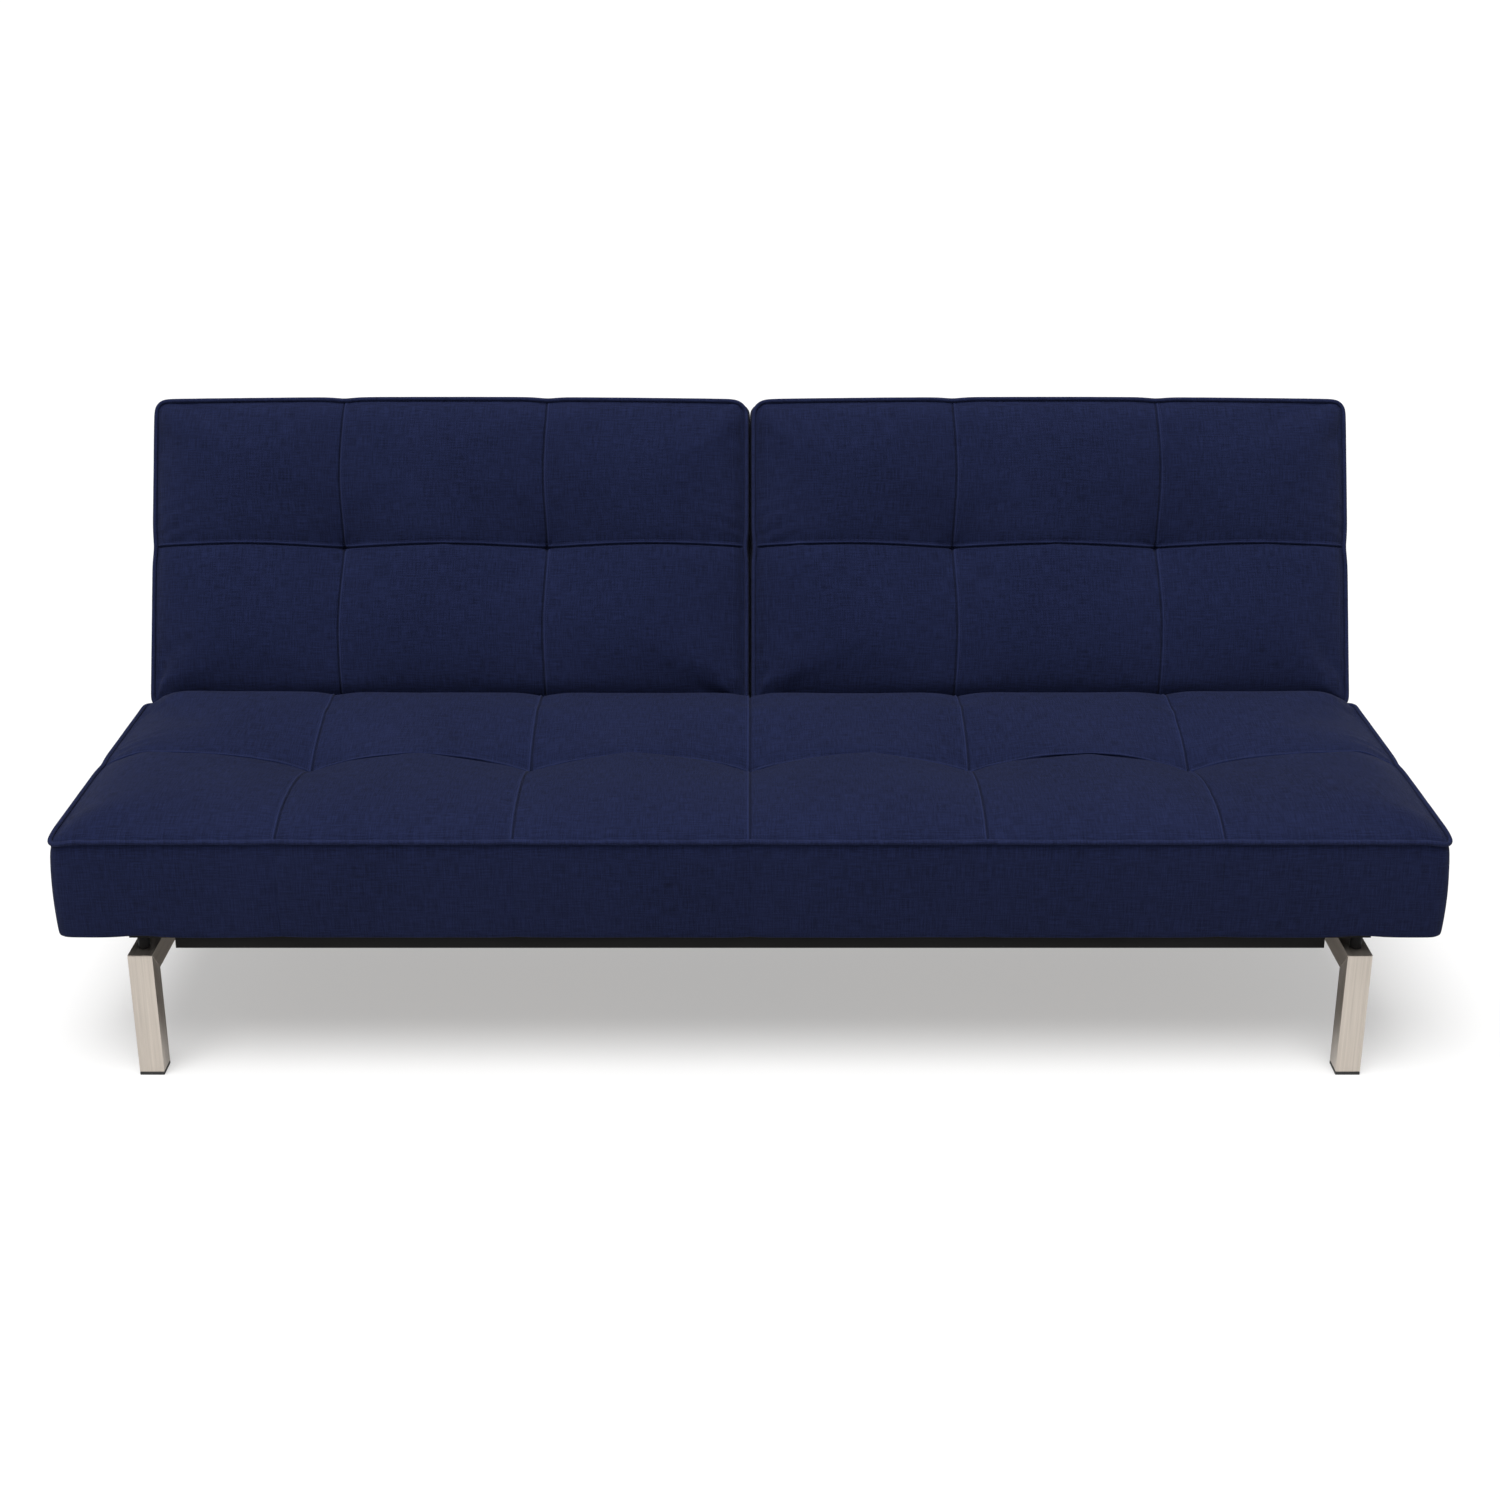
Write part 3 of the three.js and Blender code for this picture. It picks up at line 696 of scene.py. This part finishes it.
    def set_points(self, points):
        """Moves the cover's points, but keeps a back's cover on its own side of the split."""
        if self.body.startswith("left"):
            points[:, 0] = np.minimum(points[:, 0], 0)
        elif self.body.startswith("right"):
            points[:, 0] = np.maximum(points[:, 0], 0)
        set_coordinates(self.obj.data, points)

    def pin_weights(self, flat):
        """How firmly the foam and the stitching hold each point of the cover: 1 is fixed."""
        a, b, depth = flat.T
        face = depth < TINY
        weight = np.where(self.seam_distance(a, b) < 2 * MM, 0.12, 0.0)
        weight = np.maximum(weight, bell(self.tuft_distance(a, b), 9 * MM))
        weight = np.where(face & (self.edge_distance(a, b) < 1 * MM), 1.0, weight)
        at_crease = np.abs(b - self.cut.crease_at) < TINY
        return np.where(face, weight, np.where((depth > STRAIGHT_SHARE) | at_crease, 1.0, 0.25))

    def inflate(self, frames=20):
        """Blows the cover out against its seams and tufts as cloth, and keeps the result."""
        obj = self.obj
        before = coordinates(obj.data)
        weights = np.round(self.pin_weights(self.read_flat()), 2)
        group = obj.vertex_groups.new(name="held")
        for level in np.unique(weights[weights > 0]):
            group.add(np.flatnonzero(weights == level).tolist(), float(level), "REPLACE")
        cloth = obj.modifiers.new("Cloth", "CLOTH")
        settings = cloth.settings
        settings.quality = 5
        settings.mass = 0.03
        settings.tension_stiffness = settings.compression_stiffness = 25
        settings.shear_stiffness = 8
        settings.bending_stiffness = 2
        settings.vertex_group_mass = "held"
        settings.pin_stiffness = 8
        settings.use_pressure = True
        settings.uniform_pressure_force = self.cut.puff
        settings.effector_weights.gravity = 0
        cloth.point_cache.frame_start, cloth.point_cache.frame_end = 1, frames
        scene = bpy.context.scene
        for number in range(1, frames + 1):
            scene.frame_set(number)
        evaluated = obj.evaluated_get(bpy.context.evaluated_depsgraph_get())
        moved = coordinates(evaluated.data) - before
        obj.modifiers.remove(cloth)
        obj.vertex_groups.remove(group)
        scene.frame_set(1)
        size = np.linalg.norm(moved, axis=1, keepdims=True)
        self.set_points(before + moved * MOST_MOVE / np.maximum(size, MOST_MOVE))

    def refine(self):
        """Subdivides the cover once, then presses its seams, tufts and small creases into it."""
        subdivide(self.obj)
        points, flat = coordinates(self.obj.data), self.read_flat()
        a, b, depth = flat.T
        face, ridge = self.face_relief(a, b, points)
        relief = np.where(depth < ON_FACE, face, self.border_relief(a, b, depth, points))
        relief = np.where(depth > BASE - 0.01, self.base_relief(a, b), relief)
        self.set_points(points + normals(self.obj.data) * relief[:, None])
        # The ridge layer marks where the cloth paints shade into the seam grooves and a highlight onto the folded
        # ridges.
        layer = self.obj.data.attributes.new("ridge", "FLOAT", "POINT")
        layer.data.foreach_set("value", (ridge * (depth < ON_FACE)).astype(np.float32))

    def face_relief(self, a, b, points):
        """The sewn seams, the gathers round each tuft and the slack along the piping."""
        edge, tuft = self.edge_distance(a, b), self.tuft_distance(a, b)
        inside = smooth(edge / (9 * MM))
        across = [b - self.cross_seam] + [(a - seam) * self.cut.fold_side for seam in self.seams]
        relief = sum(sewn_fold(away) for away in across) * inside
        ridge = sum(seam_ridge(away) for away in across) * inside
        relief -= 2.6 * MM * bell(tuft, 5 * MM)
        for seam in self.seams:
            x, y = a - seam, b - self.cross_seam
            turn, reach = np.arctan2(y, x), np.hypot(x, y)
            # Nine larger and five smaller folds, turned a little differently at each tuft.
            gathers = np.cos(9 * turn + 40 * seam) + 0.6 * np.cos(5 * turn + 90 * seam)
            relief += 0.55 * MM * gathers * bell(reach - 20 * MM, 13 * MM)
        slack = bell(edge, 22 * MM, 1) * inside
        relief += 0.8 * MM * ripples(points, 26 * MM) * slack
        relief += self.pulls(a, b) * inside
        return relief + 0.7 * MM * ripples(points, 95 * MM) * smooth(edge / (50 * MM)), ridge

    def pulls(self, a, b):
        """Short folds that run in from the piping at the sides, and puckers at the corners by the crease."""
        along = np.minimum(a, self.length - a)
        hand = np.where(a < self.length / 2, 1.0, -1.0)
        slant = b - 0.35 * along
        loose = bell(b - self.cross_seam - 40 * MM, 45 * MM) + 0.8 * bell(b - self.cut.crease_at, 70 * MM)
        turns = 2 * math.pi * slant
        shape = np.sin(turns / (31 * MM) + hand) + 0.5 * np.sin(turns / (19 * MM) + 2 * hand)
        folds = 1.2 * MM * shape * loose * bell(along - 30 * MM, 48 * MM)
        up = np.abs(b - self.cut.crease_at)
        turn, reach = np.arctan2(up, along), np.hypot(up, along)
        puckers = np.cos(11 * turn + hand) + 0.5 * np.cos(17 * turn)
        return folds + 1.3 * MM * puckers * bell(reach - 42 * MM, 22 * MM)

    def border_relief(self, a, b, depth, points):
        """Gathers below the piping, soft unevenness, and a join below each seam at the front and rear."""
        below = np.clip(depth / STRAIGHT_SHARE, 0, 1)
        wall = smooth(below / 0.1) * (depth < 0.98) * (np.abs(a - self.cut.split_at) > 0.1 * MM)
        relief = 0.8 * MM * ripples(points, 24 * MM) * bell(below, 0.16, 1) * wall
        relief += 0.8 * MM * ripples(points, 110 * MM) * wall
        end = (b < 0.1 * MM) | (b > self.width - 0.1 * MM)
        for seam in self.seams:
            relief -= 0.8 * MM * bell(a - seam, 1.5 * MM) * end * wall
        return relief

    def base_relief(self, a, b):
        """The sewn edge of the cover behind the cushion."""
        edge = self.edge_distance(a, b)
        return -1.4 * MM * bell(edge - 9 * MM, 2.2 * MM)


def seam_ridge(across):
    """1 on the folded ridge beside a seam, -1 in the groove at the seam, 0 away from both."""
    return bell(across - 2.8 * MM, 1.7 * MM, 4) - bell(across + 0.6 * MM, 1.5 * MM, 4)


def sewn_fold(across):
    """The height of a lapped seam: a tight groove, the folded ridge beside it, and its sunken stitch line."""
    groove = -1.6 * MM * bell(across, 1.3 * MM)
    stitched = -0.4 * MM * bell(across - SEAM_TO_STITCHES, 1.2 * MM)
    return groove + 1.1 * MM * seam_ridge(across) + stitched


def ripples(points, size):
    """Smooth unevenness from -1 to 1, the same on every run."""
    return np.array([noise.noise(Vector(p / size)) for p in points])


# --- Piping and stitching -----------------------------------------------------------------------

def spokes(sides, sideways, upwards):
    """Directions round a circle at each place, from two that lie square in its plane."""
    turn = np.arange(sides) * 2 * math.pi / sides
    return (np.cos(turn)[None, :, None] * sideways[:, None, :]
            + np.sin(turn)[None, :, None] * upwards[:, None, :])


def tube_mesh(name, path, sideways, upwards, radius, material, sides=10):
    """A closed loop of tube. Its section stands on two directions given at each point of the path."""
    count = len(path)
    section = spokes(sides, sideways, upwards)
    points = (path[:, None, :] + radius[:, None, None] * section).reshape(-1, 3)
    index = np.arange(count * sides).reshape(count, sides)
    after, beside = np.roll(index, -1, axis=0), np.roll(index, -1, axis=1)
    quads = np.stack([index, beside, np.roll(beside, -1, axis=0), after], axis=-1).reshape(-1, 4)
    obj = new_object(name, points, quads, material)
    start = way_round(path)
    round_way = np.arange(sides + 1) * 2 * math.pi / sides * radius.mean()
    u = np.stack([start[:-1], start[:-1], start[1:], start[1:]], axis=-1)[:, None, :].repeat(sides, axis=1)
    v = np.stack([round_way[:-1], round_way[1:], round_way[1:], round_way[:-1]], axis=-1)[None]
    v = v.repeat(count, axis=0)
    uv = obj.data.uv_layers.new(name="cloth")
    uv.data.foreach_set("uv", np.stack([u, v], axis=-1).astype(np.float32).ravel())
    return obj


def add_piping(cushion):
    """A covered cord sewn in round the edge of the cushion's face."""
    path = coordinates(cushion.obj.data)[cushion.ring_index]
    along = unit(np.roll(path, -1, axis=0) - np.roll(path, 1, axis=0))
    outward = cushion.outward @ cushion.axes[:2]
    upwards = unit(np.cross(outward, along) * np.sign(np.cross(outward, along) @ cushion.axes[2])[:, None])
    sideways = np.cross(upwards, along)
    centre = path + outward * 0.4 * MM + upwards * 1.3 * MM  # the cord stands just above its seam
    radius = PIPING_RADIUS * (1 + 0.05 * ripples(path, 18 * MM))
    piping = tube_mesh(f"{cushion.name}_piping", centre, sideways, upwards, radius, PIPING)
    subdivide(piping)
    return piping


def places_along(path, normal, pitch, closed=False):
    """Evenly spaced places along a path, with the direction of the path and the surface's normal there."""
    if closed:
        path, normal = np.vstack([path, path[:1]]), np.vstack([normal, normal[:1]])
    length = np.concatenate([[0], np.cumsum(np.linalg.norm(np.diff(path, axis=0), axis=1))])
    places = np.arange(pitch, length[-1] - pitch / 2, pitch)

    def at(distance, values):
        return np.column_stack([np.interp(distance, length, values[:, k]) for k in range(3)])
    return at(places, path), unit(at(places + 0.3 * MM, path) - at(places, path)), unit(at(places, normal))


def stitch_mesh(name, places, along, normal):
    """Short lengths of thread, each dipping into the cloth at both ends."""
    sides, length, radius = 6, STITCH["length"], STITCH["radius"]
    circle = spokes(sides, unit(np.cross(normal, along)), normal)
    rings = []
    for share, lift, swell in ((-0.5, -0.8, 0.3), (-0.32, 0.25, 0.9), (0.32, 0.25, 0.9), (0.5, -0.8, 0.3)):
        centre = places + along * share * length + normal * lift * radius
        rings.append(centre[:, None, :] + circle * swell * radius)
    points = np.stack(rings, axis=1).reshape(-1, 3)
    one = np.arange(4 * sides).reshape(4, sides)
    beside = np.roll(one, -1, axis=1)
    sleeve = np.stack([one[:-1], beside[:-1], beside[1:], one[1:]], axis=-1).reshape(-1, 4)
    ends = np.stack([one[0][::-1], one[3]])
    first = (np.arange(len(places)) * 4 * sides)[:, None, None]
    faces = (sleeve + first).reshape(-1, 4).tolist() + (ends + first).reshape(-1, sides).tolist()
    return new_object(name, points, faces, THREAD)


def inner_ring(index, inset=3):
    """The closed row of grid points a few lines in from the edge."""
    inner = index[inset:-inset, inset:-inset]
    return np.concatenate([inner[:, 0], inner[-1, 1:], inner[-2::-1, -1], inner[0, -2:0:-1]])


def add_stitching(cushion):
    """A row of top-stitching beside every seam and inside the piping, and one round the rear of a back."""
    points, normal = coordinates(cushion.obj.data), normals(cushion.obj.data)
    top, rows = cushion.top_index, []
    for seam in cushion.seams:
        column = int(np.argmin(np.abs(cushion.a - seam - SEAM_TO_STITCHES * cushion.cut.fold_side)))
        rows.append((top[column, 2:-2], False))
    line = int(np.argmin(np.abs(cushion.b - cushion.cross_seam - SEAM_TO_STITCHES)))
    rows.append((top[2:-2, line], False))
    rows.append((inner_ring(top), True))
    if cushion.body != "base":
        rows.append((inner_ring(cushion.base_index), True))
    made = [places_along(points[index], normal[index], STITCH["pitch"], closed) for index, closed in rows]
    places, along, above = (np.concatenate(part) for part in zip(*made))
    return stitch_mesh(f"{cushion.name}_stitching", places, along, above)


def add_dust_cloth():
    """The thin black cloth under the seat."""
    inset, thickness = 34 * MM, 0.5 * MM
    low, high = (np.array(corner) for corner in SEAT)
    count = (90, 26)
    x = np.linspace(low[0] + inset, high[0] - inset, count[0])
    y = np.linspace(low[1] + inset, high[1] - inset, count[1])
    grid = np.stack(np.meshgrid(x, y, indexing="ij"), axis=-1)
    level = np.full(count, low[2] + 0.2 * MM)
    points = np.concatenate([grid, level[..., None]], axis=-1).reshape(-1, 3)
    index = np.arange(len(points)).reshape(count)
    faces = grid_faces(index, flip=True)
    cloth = new_object("seat_dust_cloth", points, faces, DUST_CLOTH)
    uv = cloth.data.uv_layers.new(name="cloth")
    uv.data.foreach_set("uv", points[faces.ravel(), :2].astype(np.float32).ravel())
    solid = cloth.modifiers.new("Thickness", "SOLIDIFY")
    solid.thickness, solid.offset = thickness, -1
    apply_modifiers(cloth)
    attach(cloth, "base")


# --- Hard parts -------------------------------------------------------------------------------

def soften(node, material, width):
    """Stands in for a CAD node with the same shape, its edges rounded."""
    mesh = frame["nodes"][node].data.copy()
    mesh.name = f"{node}_made"
    mesh.materials.clear()
    mesh.materials.append(material)
    bm = bmesh.new()
    bm.from_mesh(mesh)
    bmesh.ops.remove_doubles(bm, verts=bm.verts, dist=0.01 * MM)
    bmesh.ops.dissolve_limit(bm, angle_limit=math.radians(1), verts=bm.verts, edges=bm.edges)
    sharp = [e for e in bm.edges if len(e.link_faces) == 2 and e.calc_face_angle(0) > math.radians(28)]
    bmesh.ops.bevel(bm, geom=sharp, offset=width, offset_type="OFFSET", segments=2, profile=0.5,
                    affect="EDGES", clamp_overlap=True)
    for face in bm.faces:
        face.material_index = 0
    bm.to_mesh(mesh)
    bm.free()
    mesh.shade_smooth()
    mesh.set_sharp_from_angle(angle=math.radians(35))
    obj = bpy.data.objects.new(f"{node}_made", mesh)
    bpy.context.collection.objects.link(obj)
    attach(obj, BODY_OF[node])
    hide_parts(node)
    return obj


def hinge_spans(start, *hands):
    """(low, high) of the space that each hinge takes up, measured along the sofa from a cushion's start."""
    spans = []
    for hand in hands:
        for end in ("inner", "outer"):
            boxes = [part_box(f"{hand}_{end}_{piece}") for piece in ("hinge_plate", "pivot_bolt")]
            low, high = min(box[0][0] for box in boxes), max(box[1][0] for box in boxes)
            spans.append((low - 3 * MM - start, high + 3 * MM - start))
    return spans


def make_seat():
    """The seat's cushion. Its rear edge stays clear of the backs, even when they are pulled forwards."""
    seat_low = SEAT[0]
    spacer_x = sum(corner[0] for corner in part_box("front_right_spacer")) / 2
    width, thick = 599 * MM, 149 * MM
    cut = Cut(
        length=2 * SEAT_HALF, width=width, thick=thick, step=17 * MM,
        seams=[SEAT_HALF + k * SEAM_SPACING for k in (-2, -1, 0, 1, 2)], cross_seam=311 * MM, fold_side=-1,
        corners=((20 * MM, 13 * MM), (20 * MM, 13 * MM)), droop=5 * MM, bow=(0, 0), arch=0.0,
        crown=25 * MM, edge_reach=75 * MM, tuft_reach=172 * MM, dimple=7 * MM, puff=4.0,
        crease_at=width, crease_reach=30 * MM, crease_flat=5 * MM, swell=14 * MM,
        bulges=(6 * MM, 6 * MM, 5 * MM), bottom_corner=4 * MM,
        hem=9 * MM, hem_gaps=[SEAT_HALF + spacer_x, SEAT_HALF - spacer_x],
        dents=hinge_spans(-SEAT_HALF, "left", "right"), dent_depth=7 * MM, split_at=math.inf,
    )
    origin = (-SEAT_HALF, seat_low[1] + 2 * MM, seat_low[2] + 1 * MM + thick)
    return Cushion("seat_cushion", "base", origin, 0, cut)


def make_back(hand, side):
    """A back's cushion, which starts just above the hinge line. Side is -1 on the left and 1 on the right."""
    length = BACK_HALF - SPLIT
    start = -BACK_HALF if side < 0 else SPLIT
    order = slice(None, None, side)  # what is listed from the split outwards runs the other way on the left
    cut = Cut(
        length=length, width=537 * MM, thick=110 * MM, step=15 * MM,
        seams=sorted(side * k * SEAM_SPACING - start for k in (1, 2)), cross_seam=279 * MM, fold_side=1,
        corners=((4 * MM, 26 * MM), (16 * MM, 20 * MM))[order], droop=2 * MM,
        bow=(side * 5 * MM, 4 * MM), arch=4 * MM,
        crown=19 * MM, edge_reach=34 * MM, tuft_reach=140 * MM, dimple=7 * MM, puff=3.0,
        crease_at=0.0, crease_reach=26 * MM, crease_flat=13 * MM, swell=0.0,
        bulges=((11 * MM, 3 * MM)[order] + (3 * MM,)), bottom_corner=14 * MM,
        hem=0.0, hem_gaps=[],
        dents=hinge_spans(start, hand), dent_depth=12 * MM, split_at=length if side < 0 else 0.0,
    )
    up = Vector((0, math.sin(RECLINE), math.cos(RECLINE)))
    out = Vector((0, -math.cos(RECLINE), math.sin(RECLINE)))
    origin = Vector((start, PIVOT_Y, PIVOT_Z)) + up * 8 * MM + out * 20 * MM
    return Cushion(f"{hand}_back_cushion", f"{hand}_back", tuple(origin), math.pi / 2 - RECLINE, cut)


def dress_cushion(cushion, *nodes):
    """Fills a cushion, sews its seams, piping and stitching, and lets it stand in for its CAD nodes."""
    cushion.inflate()
    piping = add_piping(cushion)
    cushion.refine()
    stitching = add_stitching(cushion)
    for piece in (cushion.obj, piping, stitching):
        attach(piece, cushion.body)
    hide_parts(*nodes)


def dress_hard_parts():
    """Rounds the edges of every hard part that shows, and gives the ones inside the backs their wood."""
    for node in BODY_OF:
        if node.endswith("_leg"):
            soften(node, STEEL[2], 1.0 * MM)
        elif node.endswith("_leg_rail"):
            soften(node, STEEL[1], 1.0 * MM)
        elif node.endswith("_foot"):
            soften(node, PLASTIC, 0.8 * MM)
        elif node.startswith("seat_slat"):
            soften(node, BEECH[1], 2.5 * MM)
        elif node.endswith(("_rail", "_spacer", "_corner_plate")):
            soften(node, BLACK_PAINT, 0.6 * MM)
        elif node.endswith("_detent_spring"):
            frame["nodes"][node].data.materials[0] = ZINC
        elif "hinge" in node or "bolt" in node:
            soften(node, ZINC, 0.4 * MM)
        elif "slat" in node or "frame" in node:
            soften(node, BEECH[0], 1.5 * MM)


make_camera()
make_floor()
make_light()
dress_hard_parts()
dress_cushion(make_seat(), "seat_pad")
add_dust_cloth()
for hand, side in (("left", -1), ("right", 1)):
    dress_cushion(make_back(hand, side), f"{hand}_back_pad", f"{hand}_back_panel")
